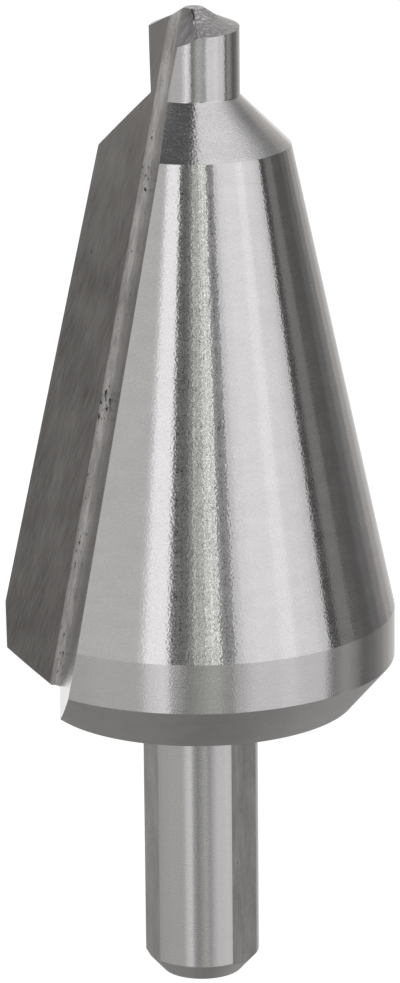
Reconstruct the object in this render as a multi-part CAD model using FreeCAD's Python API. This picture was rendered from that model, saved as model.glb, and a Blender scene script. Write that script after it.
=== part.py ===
import FreeCAD, Part
import math
import os

os.makedirs("parts", exist_ok=True)

# Cone drill bit: one bar of high-speed steel, turned to a stepped cone, with a single
# straight flute ground down its side, a gashed point and three flats on the shank.
# Lengths in millimetres, angles in degrees. The origin is the centre of the shank's end
# face and +Z runs up the axis to the point. The flute is on the -X side and its rake
# face looks along -Y, so the tool cuts to the right.

# Shank, gripped in a three-jaw chuck
shank_diameter = 9.0
shank_length = 22.6
shank_end_diameter = 6.3
shank_end_bevel = 1.5
flat_count = 3
flat_depth = 0.27
first_flat_direction = -38.0

# Turned body, from the underside up to the pilot
underside_diameter = 24.3
back_cone_height = 3.6
rim_diameter = 30.5
rim_width = 3.9
cone_length = 36.7
cone_top_diameter = 14.7
lead_cone_height = 3.85
pilot_diameter = 6.9
pilot_length = 5.2

# Point: a flat cone with a steeper centre, ground leaning back so that its front clears
point_angle = 132.0
centre_angle = 112.0
centre_diameter = 3.75
point_web = 1.5
point_lean = 3.5

# Flute: a V with a rounded root, whose rake face carries the cutting edge
rake_face_at_rim = 5.56
rake_face_at_pilot = 2.27
root_behind_axis_at_rim = 2.93
root_behind_axis_at_pilot = 1.08
rake_face_turn = 16.7
wall_turn = 1.4
root_radius = 0.65

# Gash that thins the point in front of the flute
gash_slope = 40.3
gash_direction = 231.8
gash_over_point = 0.39

# Seam of the turned faces, laid where the flute takes the metal away
seam_direction = 195.0
# Room that the cutters have beyond the metal
cutter_clearance = 5.0

origin = FreeCAD.Vector(0, 0, 0)
x_axis = FreeCAD.Vector(1, 0, 0)
y_axis = FreeCAD.Vector(0, 1, 0)
z_axis = FreeCAD.Vector(0, 0, 1)

shank_radius = shank_diameter / 2
rim_radius = rim_diameter / 2
pilot_radius = pilot_diameter / 2
underside_height = shank_length
rim_base_height = underside_height + back_cone_height
cone_base_height = rim_base_height + rim_width
cone_top_height = cone_base_height + cone_length
pilot_base_height = cone_top_height + lead_cone_height
pilot_top_height = pilot_base_height + pilot_length
point_slope = 1 / math.tan(math.radians(point_angle / 2))
centre_slope = 1 / math.tan(math.radians(centre_angle / 2))
centre_base_height = pilot_top_height + (pilot_radius - centre_diameter / 2) * point_slope
tip_height = centre_base_height + (centre_diameter - point_web) / 2 * centre_slope
bar_top_height = tip_height + cutter_clearance


def turned(outline):
    """A closed half outline of (radius, height) points, turned about the axis."""
    wire = Part.makePolygon([FreeCAD.Vector(radius, 0, height) for radius, height in outline])
    body = Part.Face(wire).revolve(origin, z_axis, 360)
    body.rotate(origin, z_axis, seam_direction)
    return body


def turned_blank():
    """The bar as it leaves the lathe, with stock left above the pilot for the point."""
    outline = [
        (0, 0),
        (shank_end_diameter / 2, 0),
        (shank_radius, shank_end_bevel),
        (shank_radius, underside_height),
        (underside_diameter / 2, underside_height),
        (rim_radius, rim_base_height),
        (rim_radius, cone_base_height),
        (cone_top_diameter / 2, cone_top_height),
        (pilot_radius, pilot_base_height),
        (pilot_radius, bar_top_height),
        (0, bar_top_height),
        (0, 0),
    ]
    return turned(outline)


def point_cutter():
    """All that lies above the point: a flat centre, a steep cone and a flatter one."""
    reach = pilot_radius + cutter_clearance
    reach_height = pilot_top_height - cutter_clearance * point_slope
    top_height = bar_top_height + cutter_clearance
    cutter = turned([
        (0, tip_height),
        (point_web / 2, tip_height),
        (centre_diameter / 2, centre_base_height),
        (reach, reach_height),
        (reach, top_height),
        (0, top_height),
        (0, tip_height),
    ])
    cutter.rotate(FreeCAD.Vector(0, 0, tip_height), x_axis, point_lean)
    return cutter


def flute_cutter():
    """What the flute takes out: its plan section carried along the straight root."""
    root_at_rim = FreeCAD.Vector(
        rake_face_at_rim - rim_radius, root_behind_axis_at_rim, cone_base_height)
    root_at_pilot = FreeCAD.Vector(
        rake_face_at_pilot - pilot_radius, root_behind_axis_at_pilot, pilot_top_height)
    root_run = (root_at_pilot - root_at_rim) / (pilot_top_height - cone_base_height)

    low = underside_height - cutter_clearance
    high = tip_height + cutter_clearance
    root = root_at_rim + root_run * (low - cone_base_height)
    travel = root_run * (high - low)

    rake_turn = math.radians(rake_face_turn)
    rake = FreeCAD.Vector(-math.cos(rake_turn), -math.sin(rake_turn), 0)
    side_turn = math.radians(wall_turn)
    wall = FreeCAD.Vector(math.sin(side_turn), -math.cos(side_turn), 0)
    reach = rim_diameter + cutter_clearance

    half_angle = rake.getAngle(wall) / 2
    middle = (rake + wall).normalize()
    arc_centre = root + middle * (root_radius / math.sin(half_angle))
    arc_run = root_radius / math.tan(half_angle)
    rake_start = root + rake * arc_run
    wall_start = root + wall * arc_run
    rake_end = root + rake * reach
    wall_end = root + wall * reach
    far_corner = rake_end + wall * reach
    section = Part.Wire([
        Part.Arc(wall_start, arc_centre - middle * root_radius, rake_start).toShape(),
        Part.LineSegment(rake_start, rake_end).toShape(),
        Part.LineSegment(rake_end, far_corner).toShape(),
        Part.LineSegment(far_corner, wall_end).toShape(),
        Part.LineSegment(wall_end, wall_start).toShape(),
    ])
    return Part.Face(section).extrude(travel)


def gash_cutter():
    """All that lies above the sloping plane ground across the point's front left."""
    side = 2 * rim_diameter
    block = Part.makeBox(side, side, side, FreeCAD.Vector(-side / 2, -side / 2, 0))
    block.rotate(origin, y_axis, gash_slope)
    block.rotate(origin, z_axis, gash_direction)
    block.translate(FreeCAD.Vector(0, 0, tip_height + gash_over_point))
    return block


def shank_flat_cutters():
    """One block outside each flat, evenly spaced round the shank."""
    cutters = []
    for index in range(flat_count):
        corner = FreeCAD.Vector(shank_radius - flat_depth, -shank_diameter, -cutter_clearance)
        height = shank_length + cutter_clearance
        block = Part.makeBox(shank_diameter, 2 * shank_diameter, height, corner)
        block.rotate(origin, z_axis, first_flat_direction + index * 360 / flat_count)
        cutters.append(block)
    return cutters


cutters = [point_cutter(), flute_cutter(), gash_cutter()] + shank_flat_cutters()
drill = turned_blank().cut(cutters).removeSplitter().Solids[0]
drill.exportStep("parts/cone_drill_bit.step")
print("length", round(tip_height, 2), "volume in cubic centimetres", round(drill.Volume / 1000, 2))
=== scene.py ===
import math

import bmesh
import bpy
from mathutils import Matrix, Vector


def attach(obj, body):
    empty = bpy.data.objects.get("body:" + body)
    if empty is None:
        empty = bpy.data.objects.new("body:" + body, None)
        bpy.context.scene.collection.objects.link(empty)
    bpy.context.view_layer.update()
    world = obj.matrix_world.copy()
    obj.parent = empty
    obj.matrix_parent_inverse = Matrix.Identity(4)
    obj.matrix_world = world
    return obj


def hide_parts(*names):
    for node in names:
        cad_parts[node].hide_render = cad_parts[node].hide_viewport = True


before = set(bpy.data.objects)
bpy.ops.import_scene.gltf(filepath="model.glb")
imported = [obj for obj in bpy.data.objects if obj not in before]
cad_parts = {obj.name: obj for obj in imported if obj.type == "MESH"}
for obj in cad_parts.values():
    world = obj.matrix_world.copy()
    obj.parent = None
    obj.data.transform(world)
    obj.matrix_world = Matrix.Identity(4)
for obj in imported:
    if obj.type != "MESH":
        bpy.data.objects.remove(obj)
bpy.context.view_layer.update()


# The view
# The tool stands upright on its shank and is photographed with a long lens, from a little
# above the middle of it. The camera's distance and height are in metres.

MM = 0.001
aim_height = 38.0 * MM
camera_distance = 380.5 * MM
camera_elevation = math.radians(16.33)
camera_roll = math.radians(-0.54)

camera = bpy.data.objects.new("camera", bpy.data.cameras.new("camera"))
camera.data.lens = 179.4
camera.data.sensor_width = 36
camera.data.shift_x = 0.0016
camera.data.shift_y = 0.0163
camera.data.clip_start = 0.01
camera.data.clip_end = 50
away = Vector((0, -math.cos(camera_elevation), math.sin(camera_elevation)))
camera.matrix_world = (
    Matrix.Translation(Vector((0, 0, aim_height)) + away * camera_distance)
    @ Matrix.Rotation(math.pi / 2 - camera_elevation, 4, "X")
    @ Matrix.Rotation(camera_roll, 4, "Z"))
bpy.context.collection.objects.link(camera)
bpy.context.scene.camera = camera
bpy.context.scene.view_settings.view_transform = "Standard"


# The turned bar
# High-speed steel bar, turned to the cone, rim, pilot and shank in one chucking. The
# tool leaves fine rings round every turned surface, and each corner is a little broken.

rim_radius = 15.25
shank_radius = 4.5
shank_end_radius = 3.15
shank_end_bevel = 1.5
underside_radius = 12.15
underside_height = 22.6
rim_base_height = 26.2
cone_base_height = 30.1
cone_top_radius = 7.35
cone_top_height = 66.8
pilot_radius = 3.45
pilot_base_height = 70.65
pilot_top_height = 75.85
bar_top_height = 82.3
facets_round = 360


def rounded_outline(corners):
    """Half outline with each corner (radius, height, rounding, finish) turned into a short arc.
    Gives the points, each with the finish of the stretch that follows it."""
    points = []
    for index, (radius, height, rounding, finish) in enumerate(corners):
        here = Vector((radius, height, 0))
        if rounding == 0:
            points.append((here, finish))
            continue
        back = (Vector((*corners[index - 1][:2], 0)) - here).normalized()
        on = (Vector((*corners[index + 1][:2], 0)) - here).normalized()
        half = back.angle(on) / 2
        centre = here + (back + on).normalized() * rounding / math.sin(half)
        start = here + back * rounding / math.tan(half) - centre
        end = here + on * rounding / math.tan(half) - centre
        steps = 5
        for step in range(steps + 1):
            way = start.normalized().slerp(end.normalized(), step / steps)
            points.append((centre + way * rounding, finish))
    return points


def turned_body(name, corners, materials):
    """Closed body turned about the upright axis from its half outline, given from the middle
    of one end to the middle of the other. A finish is the number of a material."""
    points = rounded_outline(corners)
    mesh = bmesh.new()
    rings = []
    finishes = []
    for place, finish in points:
        radius, height = place[:2]
        ring = []
        for step in range(facets_round):
            turn = 2 * math.pi * step / facets_round
            spot = Vector((math.cos(turn) * radius, math.sin(turn) * radius, height))
            ring.append(mesh.verts.new(spot * MM))
        rings.append(ring)
        finishes.append(finish)
    for ring, next_ring, finish in zip(rings, rings[1:], finishes):
        for step in range(facets_round):
            after = (step + 1) % facets_round
            face = mesh.faces.new((ring[step], ring[after], next_ring[after], next_ring[step]))
            face.material_index = finish
    mesh.faces.new(reversed(rings[0])).material_index = finishes[0]
    mesh.faces.new(rings[-1]).material_index = finishes[-1]
    bmesh.ops.recalc_face_normals(mesh, faces=mesh.faces)
    data = bpy.data.meshes.new(name)
    mesh.to_mesh(data)
    mesh.free()
    for material in materials:
        data.materials.append(material)
    body = bpy.data.objects.new(name, data)
    bpy.context.collection.objects.link(body)
    return body


class Wire:
    """A value that runs between shader nodes. Python's operators on it add the maths."""

    def __init__(self, tree, end=None):
        self.tree = tree
        self.end = end

    def node(self, kind, settings=None, sockets=None, out=0):
        """Add any node: its kind, its settings, then the values or wires of its sockets. What
        comes back is its output, or nothing to go on from where the node is the last one."""
        made = self.tree.nodes.new(kind)
        for name, value in (settings or {}).items():
            setattr(made, name, value)
        for name, value in (sockets or {}).items():
            if isinstance(value, Wire):
                self.tree.links.new(value.end, made.inputs[name])
            else:
                made.inputs[name].default_value = value
        return Wire(self.tree, made.outputs[out] if made.outputs else None)

    def maths(self, operation, *terms):
        return self.node("ShaderNodeMath", {"operation": operation}, dict(enumerate(terms)))

    def __add__(self, other):
        return self.maths("ADD", self, other)

    def __radd__(self, other):
        return self.maths("ADD", other, self)

    def __sub__(self, other):
        return self.maths("SUBTRACT", self, other)

    def __rsub__(self, other):
        return self.maths("SUBTRACT", other, self)

    def __mul__(self, other):
        return self.maths("MULTIPLY", self, other)

    def __rmul__(self, other):
        return self.maths("MULTIPLY", other, self)

    def stretched(self, x, y, z):
        """A position with each axis multiplied, so that a pattern gets finer along it."""
        return self.node(
            "ShaderNodeVectorMath", {"operation": "MULTIPLY"}, {0: self, 1: (x, y, z)})

    def noise(self, scale, detail, roughness):
        """Cloudy noise from 0 to 1 at this position."""
        return self.node(
            "ShaderNodeTexNoise", {"noise_dimensions": "3D"},
            {"Vector": self, "Scale": scale, "Detail": detail, "Roughness": roughness})

    def between(self, low, high):
        """0 below low, 1 above high, and a smooth slope from one to the other."""
        return self.node(
            "ShaderNodeMapRange", {"interpolation_type": "SMOOTHSTEP"},
            {"Value": self, "From Min": low, "From Max": high})

    def part(self, axis):
        """One coordinate of a position."""
        return self.node("ShaderNodeSeparateXYZ", {}, {0: self}, out=axis)

    def mixed(self, first, second):
        """The colour this share of the way from the first colour or wire to the second. A share
        above 1 goes on past the second."""
        ends = [end if isinstance(end, Wire) else (*end, 1) for end in (first, second)]
        return self.node(
            "ShaderNodeMix", {"data_type": "RGBA", "clamp_factor": False},
            {"Factor": self, 6: ends[0], 7: ends[1]}, out=2)


# Nicks in the steel hold a little dark grime
stain_colour = (0.1, 0.09, 0.085)


def steel(name, anisotropy, blur_turn, dark, light):
    """A bare steel material and what its pattern starts from: the position in millimetres.
    It blurs what it reflects most in one direction. Blur_turn is how far that direction is
    turned from the one round the upright axis, as a part of a full turn."""
    material = bpy.data.materials.new(name)
    material.use_nodes = True
    tree = material.node_tree
    shader = tree.nodes["Principled BSDF"]
    shader.inputs["Metallic"].default_value = 1
    shader.inputs["Anisotropic"].default_value = anisotropy
    shader.inputs["Anisotropic Rotation"].default_value = blur_turn
    place = Wire(tree).node("ShaderNodeTexCoord", out=3).stretched(1 / MM, 1 / MM, 1 / MM)

    def dress(pattern, rough, relief, stains=None):
        """Wire in the colour pattern, the roughness, the relief in millimetres and the stains."""
        shade = pattern.mixed(dark, light)
        if stains:
            shade = stains.mixed(shade, stain_colour)
        bump = relief.node(
            "ShaderNodeBump", {}, {"Height": relief, "Distance": MM, "Strength": 1.0})
        tree.links.new(shade.end, shader.inputs["Base Color"])
        tree.links.new(rough.end, shader.inputs["Roughness"])
        tree.links.new(bump.end, shader.inputs["Normal"])

    return material, place, dress


def turned_steel(
        name, roughness, anisotropy, dark, light, ring_pitch, ring_depth, chatter,
        waves_long=0.38, torn=0.1):
    """Steel with fine rings round it, small waves left by the tool's chatter, a light cloud of
    wear, and torn specks, which differ this much in roughness. It blurs along the axis."""
    material, place, dress = steel(name, anisotropy, 0.25, dark, light)
    across = 1 / ring_pitch
    rings = place.stretched(0.28, 0.28, across).noise(1.0, 3.0, 0.6)
    flecks = place.stretched(6, 6, across).noise(1.0, 3.0, 0.6)
    broad = place.stretched(0.5, 0.5, 0.9).noise(1.0, 3.0, 0.5)
    waves = place.noise(1 / waves_long, 0.0, 0.5)
    specks = place.stretched(7, 7, 9).noise(1.0, 1.0, 0.5)
    dress(
        broad * 0.35 + rings * 0.2 + flecks * 0.45,
        (rings - 0.5) * 0.12 + broad * 0.08 + (specks - 0.5) * torn + (roughness - 0.04),
        rings * ring_depth + waves * chatter)
    return material


turned = turned_steel(
    "turned cone", roughness=0.16, anisotropy=0.95,
    dark=(0.5, 0.5, 0.49), light=(0.86, 0.85, 0.84),
    ring_pitch=0.12, ring_depth=0.001, chatter=0.0036, waves_long=0.16, torn=0.3)
lead_steel = turned_steel(
    "turned lead", roughness=0.2, anisotropy=0.8,
    dark=(0.36, 0.36, 0.35), light=(0.98, 0.97, 0.96),
    ring_pitch=0.15, ring_depth=0.003, chatter=0.008, waves_long=0.17, torn=0.4)
rim_steel = turned_steel(
    "turned rim", roughness=0.18, anisotropy=0.9,
    dark=(0.54, 0.54, 0.53), light=(0.8, 0.79, 0.78),
    ring_pitch=0.12, ring_depth=0.002, chatter=0.004, waves_long=0.14)
pilot_steel = turned_steel(
    "turned pilot", roughness=0.17, anisotropy=0.7,
    dark=(0.54, 0.54, 0.53), light=(0.8, 0.79, 0.78),
    ring_pitch=0.12, ring_depth=0.002, chatter=0.004, waves_long=0.14)
shank_steel = turned_steel(
    "turned shank", roughness=0.26, anisotropy=0.9,
    dark=(0.6, 0.6, 0.59), light=(0.78, 0.77, 0.76),
    ring_pitch=0.12, ring_depth=0.0015, chatter=0.0015, torn=0.05)
back_steel = turned_steel(
    "turned back", roughness=0.34, anisotropy=0.7,
    dark=(0.5, 0.5, 0.49), light=(0.82, 0.81, 0.8),
    ring_pitch=0.14, ring_depth=0.006, chatter=0.01)

drill = turned_body(
    "cone_drill_bit_ground",
    [
        (shank_end_radius, 0, 0, 0),
        (shank_radius, shank_end_bevel, 0.1, 0),
        (shank_radius, underside_height, 0, 1),
        (underside_radius, underside_height, 0.12, 1),
        (rim_radius, rim_base_height, 0.12, 2),
        (rim_radius, cone_base_height, 0.12, 3),
        (cone_top_radius, cone_top_height, 0.2, 4),
        (pilot_radius, pilot_base_height, 0.18, 5),
        (pilot_radius, bar_top_height, 0, 5),
    ],
    [shank_steel, back_steel, rim_steel, turned, lead_steel, pilot_steel])


# The point
# The pilot's end is ground to a flat cone with a steeper centre. It leans back a little,
# so that behind the cutting edge the metal clears the bottom of the hole.

point_angle = math.radians(132)
centre_angle = math.radians(112)
point_slope = 1 / math.tan(point_angle / 2)
centre_slope = 1 / math.tan(centre_angle / 2)
centre_radius = 1.875
web_radius = 0.75
tip_middle_radius = 0.03
point_lean = math.radians(3.5)
centre_base_height = pilot_top_height + (pilot_radius - centre_radius) * point_slope
tip_height = centre_base_height + (centre_radius - web_radius) * centre_slope
point_reach = 8.0
flank_steel = turned_steel(
    "point flank", roughness=0.4, anisotropy=0.3,
    dark=(0.12, 0.115, 0.11), light=(1, 0.99, 0.97),
    ring_pitch=0.3, ring_depth=0.02, chatter=0.11, waves_long=0.26)
point = turned_body(
    "point",
    [
        (tip_middle_radius, tip_height, 0, 0),
        (web_radius, tip_height, 0.12, 0),
        (centre_radius, centre_base_height, 0.6, 0),
        (point_reach, pilot_top_height - (point_reach - pilot_radius) * point_slope, 0, 0),
        (point_reach, bar_top_height + point_reach, 0, 0),
    ],
    [flank_steel])
point_stand = Matrix.Translation((0, 0, tip_height * MM)) @ Matrix.Rotation(point_lean, 4, "X")
point.matrix_world = point_stand @ Matrix.Translation((0, 0, -tip_height * MM))


# The flute
# One straight flute, ground from the point to the back with a shaped wheel. Its rake face
# carries the cutting edge, its root is rounded, and its wall is the heel's side.

rake_face_at_rim = 5.56
rake_face_at_pilot = 2.27
root_behind_axis_at_rim = 2.93
root_behind_axis_at_pilot = 1.08
root_at_rim = Vector((rake_face_at_rim - rim_radius, root_behind_axis_at_rim, cone_base_height))
root_at_pilot = Vector(
    (rake_face_at_pilot - pilot_radius, root_behind_axis_at_pilot, pilot_top_height))
root_run = (root_at_pilot - root_at_rim) / (pilot_top_height - cone_base_height)
rake_turn = math.radians(16.7)
wall_turn = math.radians(1.4)
rake_way = Vector((-math.cos(rake_turn), -math.sin(rake_turn), 0))
wall_way = Vector((math.sin(wall_turn), -math.cos(wall_turn), 0))
root_radius = 0.65
root_half_angle = rake_way.angle(wall_way) / 2
root_middle = (rake_way + wall_way).normalized()


def root_at(height):
    """Where the rake face and the wall would meet, at this height."""
    return root_at_rim + root_run * (height - cone_base_height)


def root_centre(height):
    """Middle of the root's rounding, at this height."""
    return root_at(height) + root_middle * root_radius / math.sin(root_half_angle)


def prism(outline, travel, name, materials, side_finishes):
    """Closed block: the outline carried along travel. Lengths in millimetres."""
    mesh = bmesh.new()
    low = [mesh.verts.new(point * MM) for point in outline]
    high = [mesh.verts.new((point + travel) * MM) for point in outline]
    mesh.faces.new(reversed(low))
    mesh.faces.new(high)
    count = len(outline)
    for step in range(count):
        after = (step + 1) % count
        face = mesh.faces.new((low[step], low[after], high[after], high[step]))
        face.material_index = side_finishes[step]
    bmesh.ops.recalc_face_normals(mesh, faces=mesh.faces)
    data = bpy.data.meshes.new(name)
    mesh.to_mesh(data)
    mesh.free()
    for material in materials:
        data.materials.append(material)
    block = bpy.data.objects.new(name, data)
    bpy.context.collection.objects.link(block)
    return block


def ground_steel(
        name, roughness, anisotropy, dark, light, turn, lean, scratch_pitch, depth,
        crossing=8, nicks=0, run=8, painted_light_to_point=0, contrast=0.5, blur_turn=0):
    """Steel with straight scratches about run long. They lean over from the upright, in the
    direction of turn, both in degrees, and others cross them at this angle. Nicks is how much
    of it is dark nicks, painted_light_to_point how much painted light lifts its colour towards
    the point, and a smaller contrast value sets its light and dark further apart."""
    material, place, dress = steel(name, anisotropy, blur_turn, dark, light)
    lined = place.node(
        "ShaderNodeMapping", {"vector_type": "TEXTURE"},
        {"Vector": place, "Rotation": (0, math.radians(lean), math.radians(turn))})
    crossed = place.node(
        "ShaderNodeMapping", {"vector_type": "TEXTURE"},
        {"Vector": place, "Rotation": (0, math.radians(lean + crossing), math.radians(turn))})
    across = 1 / scratch_pitch
    scratches = lined.stretched(across, across, 1 / run).noise(1.0, 3.0, 0.65)
    others = crossed.stretched(across, across, 1.5 / run).noise(0.8, 3.0, 0.7)
    scratches = scratches * 0.5 + others * 0.5
    broad = lined.stretched(0.8, 0.8, 0.25).noise(1.0, 3.0, 0.5)
    specks = lined.stretched(4.5, 4.5, 1.8).noise(1.0, 3.0, 0.6)
    worn = lined.stretched(0.5, 0.5, 0.22).noise(1.0, 1.0, 0.5)
    pattern = broad * 0.4 + scratches * 0.6
    pattern = ((pattern - 0.5) * (0.5 / contrast) + 0.5).between(0, 1)
    # Painted light: the colour is lifted towards the point, between these heights
    painted_light_from = 52
    painted_light_up_to = 78
    painted_light = place.part(2).between(painted_light_from, painted_light_up_to) * painted_light_to_point
    dress(
        pattern * (1 - painted_light) + painted_light,
        (scratches - 0.5) * 0.12 + broad * 0.1 + (roughness - 0.05),
        scratches * depth,
        (specks + worn * 0.5 - 0.25).between(0.76 - nicks, 0.8 - nicks))
    return material


# Painted shade: the rake face gets much darker steel than the flute's other ground faces, and
# painted light lifts it towards the point
rake_steel = ground_steel(
    "rake face", roughness=0.36, anisotropy=0.5,
    dark=(0.08, 0.074, 0.069), light=(0.54, 0.525, 0.51),
    turn=0, lean=10.5, scratch_pitch=0.14, depth=0.014, crossing=15, run=5, painted_light_to_point=0.5)
root_steel = ground_steel(
    "flute root", roughness=0.48, anisotropy=0.8,
    dark=(0.3, 0.29, 0.28), light=(1, 0.98, 0.96),
    turn=0, lean=10.5, scratch_pitch=0.2, depth=0.03, crossing=3, nicks=0.1, run=1.8,
    contrast=0.3)
wall_steel = ground_steel(
    "flute wall", roughness=0.22, anisotropy=0.3,
    dark=(0.55, 0.55, 0.54), light=(0.74, 0.73, 0.72),
    turn=0, lean=10.5, scratch_pitch=0.2, depth=0.004)

cut_clearance = 5.0
flute_low = underside_height - cut_clearance
flute_high = tip_height + cut_clearance
flute_reach = 2 * rim_radius + cut_clearance
root_steps = 32
arc_run = root_radius / math.tan(root_half_angle)
arc_first = (root_at(flute_low) + wall_way * arc_run - root_centre(flute_low)).normalized()
arc_last = (root_at(flute_low) + rake_way * arc_run - root_centre(flute_low)).normalized()
flute_outline = []
for step in range(root_steps + 1):
    out = arc_first.slerp(arc_last, step / root_steps)
    flute_outline.append(root_centre(flute_low) + out * root_radius)
rake_end = root_at(flute_low) + rake_way * flute_reach
flute_outline += [
    rake_end, rake_end + wall_way * flute_reach, root_at(flute_low) + wall_way * flute_reach]

# The arc's sides cut the root, the next two the rake face, and the last two the wall
flute = prism(
    flute_outline, root_run * (flute_high - flute_low), "flute",
    [root_steel, rake_steel, wall_steel],
    [0] * root_steps + [1, 1, 2, 2])


# The gash
# A flat, ground across the front of the point with the wheel's corner. It thins the web
# between the two sides of the point, so that the tool will start a hole.

gash_slope = math.radians(40.3)
gash_direction = math.radians(231.8)
gash_over_point = 0.39
gash_side = 4 * rim_radius
gash_steel = ground_steel(
    "gash", roughness=0.4, anisotropy=0.6,
    dark=(0.2, 0.195, 0.19), light=(1, 0.98, 0.97),
    turn=48.9, lean=60, scratch_pitch=0.2, depth=0.07, contrast=0.3, blur_turn=0.25)
gash_outline = [
    Vector((x * gash_side / 2, y * gash_side / 2, 0))
    for x, y in ((-1, -1), (1, -1), (1, 1), (-1, 1))]
gash = prism(
    gash_outline, Vector((0, 0, gash_side)), "gash", [gash_steel], [0] * 4)
gash.matrix_world = (
    Matrix.Translation((0, 0, (tip_height + gash_over_point) * MM))
    @ Matrix.Rotation(gash_direction, 4, "Z")
    @ Matrix.Rotation(gash_slope, 4, "Y"))


# The notch
# The wheel's corner leaves a thin ragged notch where the gash meets the point's flank. It
# starts beside the web, runs down to the lip's corner and sways a little on its way.

notch_width = 0.1
notch_depth = 0.09
notch_over = 0.2
# The notch is a real groove, and its steel is painted dark: painted shade for the shade inside it
notch_shade_steel = ground_steel(
    "notch", roughness=0.6, anisotropy=0.1,
    dark=(0.05, 0.045, 0.04), light=(0.5, 0.48, 0.46),
    turn=0, lean=0, scratch_pitch=0.2, depth=0.01)

# Its bottom runs from beside the web to the lip's corner, and it opens this way
notch_start = Vector((-0.14, -0.42, 77.31))
notch_end = Vector((0.22, -2.9, 75.92))
notch_out = Vector((-0.2, -0.45, 0.87)).normalized()
notch_side = (notch_end - notch_start).cross(notch_out).normalized()
mesh = bmesh.new()
notch_rings = []
notch_sways = (0, 0.05, -0.03, 0.04, -0.05, 0.03, -0.04, 0)
half_opening = notch_width / 2 * (1 + notch_over / notch_depth)
for step, sway in enumerate(notch_sways):
    along = step / (len(notch_sways) - 1)
    spot = notch_start.lerp(notch_end, along) + notch_side * sway
    corners = (
        spot + notch_out * notch_over - notch_side * half_opening,
        spot + notch_out * notch_over + notch_side * half_opening,
        spot - notch_out * notch_depth)
    notch_rings.append([mesh.verts.new(corner * MM) for corner in corners])
for ring, next_ring in zip(notch_rings, notch_rings[1:]):
    for corner in range(3):
        after = (corner + 1) % 3
        mesh.faces.new((ring[corner], ring[after], next_ring[after], next_ring[corner]))
mesh.faces.new(reversed(notch_rings[0]))
mesh.faces.new(notch_rings[-1])
bmesh.ops.recalc_face_normals(mesh, faces=mesh.faces)
notch_data = bpy.data.meshes.new("notch")
mesh.to_mesh(notch_data)
mesh.free()
notch_data.materials.append(notch_shade_steel)
notch = bpy.data.objects.new("notch", notch_data)
bpy.context.collection.objects.link(notch)


# The shank flats
# Three shallow flats at even thirds, ground lengthwise into the round shank from its end
# to the underside of the body. The chuck's jaws hold it there.

flat_count = 3
flat_depth = 0.27
first_flat_direction = math.radians(-38)
flat_steel = ground_steel(
    "shank flat", roughness=0.36, anisotropy=0.2,
    dark=(0.42, 0.41, 0.4), light=(0.76, 0.75, 0.74),
    turn=0, lean=0, scratch_pitch=0.22, depth=0.006, crossing=35, run=3, contrast=0.3)
near = shank_radius - flat_depth
far = 3 * near
half_width = 2 * near
flat_outline = [
    Vector((x, y, -cut_clearance))
    for x, y in ((near, -half_width), (far, -half_width), (far, half_width), (near, half_width))]
flat_run = Vector((0, 0, underside_height + cut_clearance))
flat_blocks = []
for index in range(flat_count):
    block = prism(flat_outline, flat_run, "flat", [flat_steel], [0] * 4)
    block.matrix_world = Matrix.Rotation(
        first_flat_direction + index * 2 * math.pi / flat_count, 4, "Z")
    flat_blocks.append(block)


# The finished tool
# The point, the flute, the gash and the flats are ground out of the turned bar, in that
# order. Round surfaces are then shaded as truly round, without their facets.

cutters = [point, flute, gash, notch] + flat_blocks
for cutter in cutters:
    cut = drill.modifiers.new(cutter.name, "BOOLEAN")
    cut.object = cutter
    cut.solver = "EXACT"
    cut.material_mode = "TRANSFER"
ready = drill.evaluated_get(bpy.context.evaluated_depsgraph_get())
ground = bpy.data.meshes.new_from_object(ready)
drill.modifiers.clear()
drill.data = ground
for cutter in cutters:
    bpy.data.objects.remove(cutter)

straight_up = 0.999
normals = []
for face in ground.polygons:
    finish = ground.materials[face.material_index].name
    stand = point_stand if finish == "point flank" else Matrix()
    lean = (stand.inverted().to_3x3() @ face.normal)[2]
    for corner in face.loop_indices:
        spot = ground.vertices[ground.loops[corner].vertex_index].co
        normal = face.normal
        if finish.startswith(("turned", "point")) and abs(lean) < straight_up:
            out = stand.inverted() @ spot
            out[2] = 0
            level = math.sqrt(1 - lean * lean)
            normal = stand.to_3x3() @ (out.normalized() * level + Vector((0, 0, lean)))
        elif finish == "flute root":
            height = spot[2] / MM
            normal = root_centre(height) - spot / MM
            normal[2] = -normal.dot(root_run)
            normal.normalize()
        normals.append(normal)
ground.polygons.foreach_set("use_smooth", [True] * len(ground.polygons))
ground.normals_split_custom_set(normals)
ground.update()

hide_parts("cone_drill_bit")
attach(drill, "root")


# The studio
# A pale floor in a light tent: bright and dark cloths hang round the tool, and their
# upright stripes are what the polished steel shows. Directions are in degrees: turn goes
# round from the front to the right, and rise goes up from level.

tent = bpy.data.worlds.new("light tent")
bpy.context.scene.world = tent
tent.use_nodes = True
tree = tent.node_tree
tree.nodes.clear()
way = Wire(tree).node("ShaderNodeTexCoord", out=0)
turn = way.maths("ARCTAN2", way.part(0), way.part(1) * -1) * (180 / math.pi)
rise = way.maths("ARCSINE", way.part(2)) * (180 / math.pi)

black = (0, 0, 0)
plain = (1, 0.985, 0.975)
warm = (1, 0.965, 0.95)
cool = (0.985, 0.97, 1)
leafy = (0.99, 1, 0.97)

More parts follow.
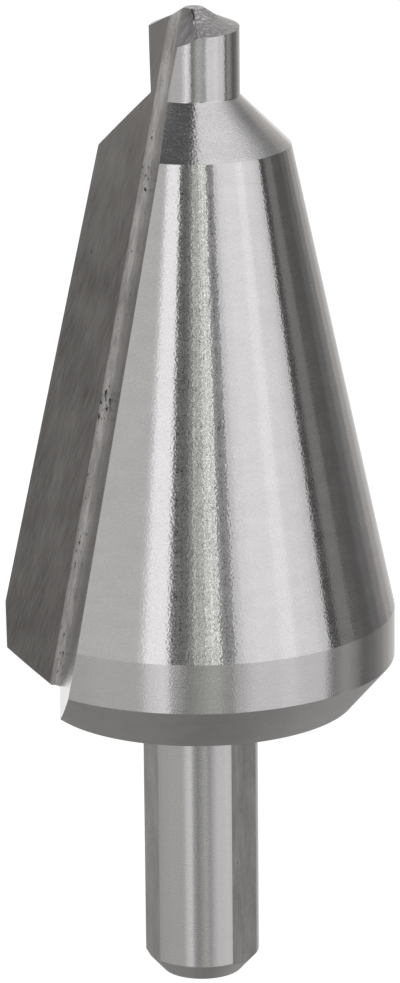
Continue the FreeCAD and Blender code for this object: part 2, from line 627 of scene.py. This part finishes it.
# Each cloth: the direction at which it starts, its brightness level with the tool and low
# down, and its tint. It reaches to where the next one starts.
cloths = [
    (-152, 0.3, 0.34, plain), (-118, 0.62, 0.44, plain), (-90, 0.62, 0.53, plain),
    (-70, 0.62, 0.59, plain), (-35.5, 0.78, 0.72, cool), (-32.4, 1.2, 1.07, cool),
    (-17.8, 0.15, 0.215, leafy), (-8.5, 0.26, 0.34, leafy), (-4.5, 0.55, 0.42, leafy),
    (4, 0.9, 0.47, leafy), (12.5, 0.28, 0.29, cool), (20.5, 0.78, 0.75, cool),
    (25, 0.96, 0.86, cool), (32, 1.01, 0.82, cool), (48, 1.11, 0.9, cool),
    (57.5, 0.95, 0.77, cool), (68, 0.9, 0.76, cool), (74, 0.79, 0.75, cool),
    (80.3, 0.08, 0.23, plain), (88, 0.22, 0.38, warm), (100, 0.12, 0.28, warm),
    (108, 0.12, 0.14, warm), (118, 0.16, 0.19, cool), (128, 0.24, 0.28, warm),
    (138, 0.42, 0.42, warm), (150, 0.54, 0.57, warm), (162, 0.85, 0.7, plain)]
edge = 1.2

# The cloths lean, so that the pilot, which reflects from in between, shows them further round
bow = rise.between(-17, -14) * (1 - rise.between(-9, -4)) * (1 - turn.between(20, 80) * 0.7)
bow_width = 9
bowed = turn - bow * bow_width
low = 1 - rise.between(-15, -1)

# The ones in front hang in narrow folds
fold_pitch = 3.4
fold_contrast = 0.9
folds = bowed.maths("SINE", bowed * (2 * math.pi / fold_pitch))
folded = bowed.between(-18, -14) * (1 - bowed.between(17, 24)) * (1 - low)
folds = folds * folded * fold_contrast + 1

sides = (1.1, 1.08, 1.07)
for start, above, below, tint in cloths:
    bright = low * (below - above) + above
    cloth = bright.mixed(black, tint)
    sides = bowed.between(start - edge, start + edge).mixed(sides, cloth)
sides = folds.mixed(black, sides)

# The ceiling, which the lead cone and the gash reflect, and the table under the back cone
ceiling = turn.between(-12, 16) * (1 - turn.between(96, 124) * 0.65) * 0.86 + 0.1
ceiling = ceiling + (1 - turn.between(-122, -94)) * 0.34
right = turn.between(-20, 20)
table = (1 - right) * rise.between(-84, -72) * 0.066 + 0.204
table = table + right * rise.between(-80, -42) * 0.16
around = (1 - rise.between(-29, -21)).mixed(sides, table.mixed(black, (1, 0.975, 0.96)))
around = rise.between(26, 44).mixed(around, ceiling.mixed(black, (0.985, 0.97, 1)))
camera_ray = way.node("ShaderNodeLightPath", out=0)
around = camera_ray.mixed(around, (1, 1, 1))
shine = way.node("ShaderNodeBackground", {}, {"Color": around, "Strength": 1.0})
shine.node("ShaderNodeOutputWorld", {}, {"Surface": shine})

floor_radius = 1.5
floor_mesh = bmesh.new()
bmesh.ops.create_circle(floor_mesh, cap_ends=True, segments=96, radius=floor_radius)
floor_data = bpy.data.meshes.new("floor")
floor_mesh.to_mesh(floor_data)
floor_mesh.free()
floor = bpy.data.objects.new("floor", floor_data)
bpy.context.collection.objects.link(floor)
floor.visible_glossy = False
floor_paint = bpy.data.materials.new("pale floor")
floor_paint.use_nodes = True
tree = floor_paint.node_tree
tree.nodes.clear()
bare = Wire(tree)
matt = bare.node("ShaderNodeBsdfDiffuse", {}, {"Color": (0.9, 0.9, 0.9, 1)})
lit = bare.node("ShaderNodeEmission", {}, {"Color": (1, 1, 1, 1), "Strength": 1.2})
seen = bare.node("ShaderNodeLightPath", out=0) * 0.8
paint = bare.node("ShaderNodeMixShader", {}, {0: seen, 1: matt, 2: lit})
paint.node("ShaderNodeOutputMaterial", {}, {"Surface": paint})
floor_data.materials.append(floor_paint)
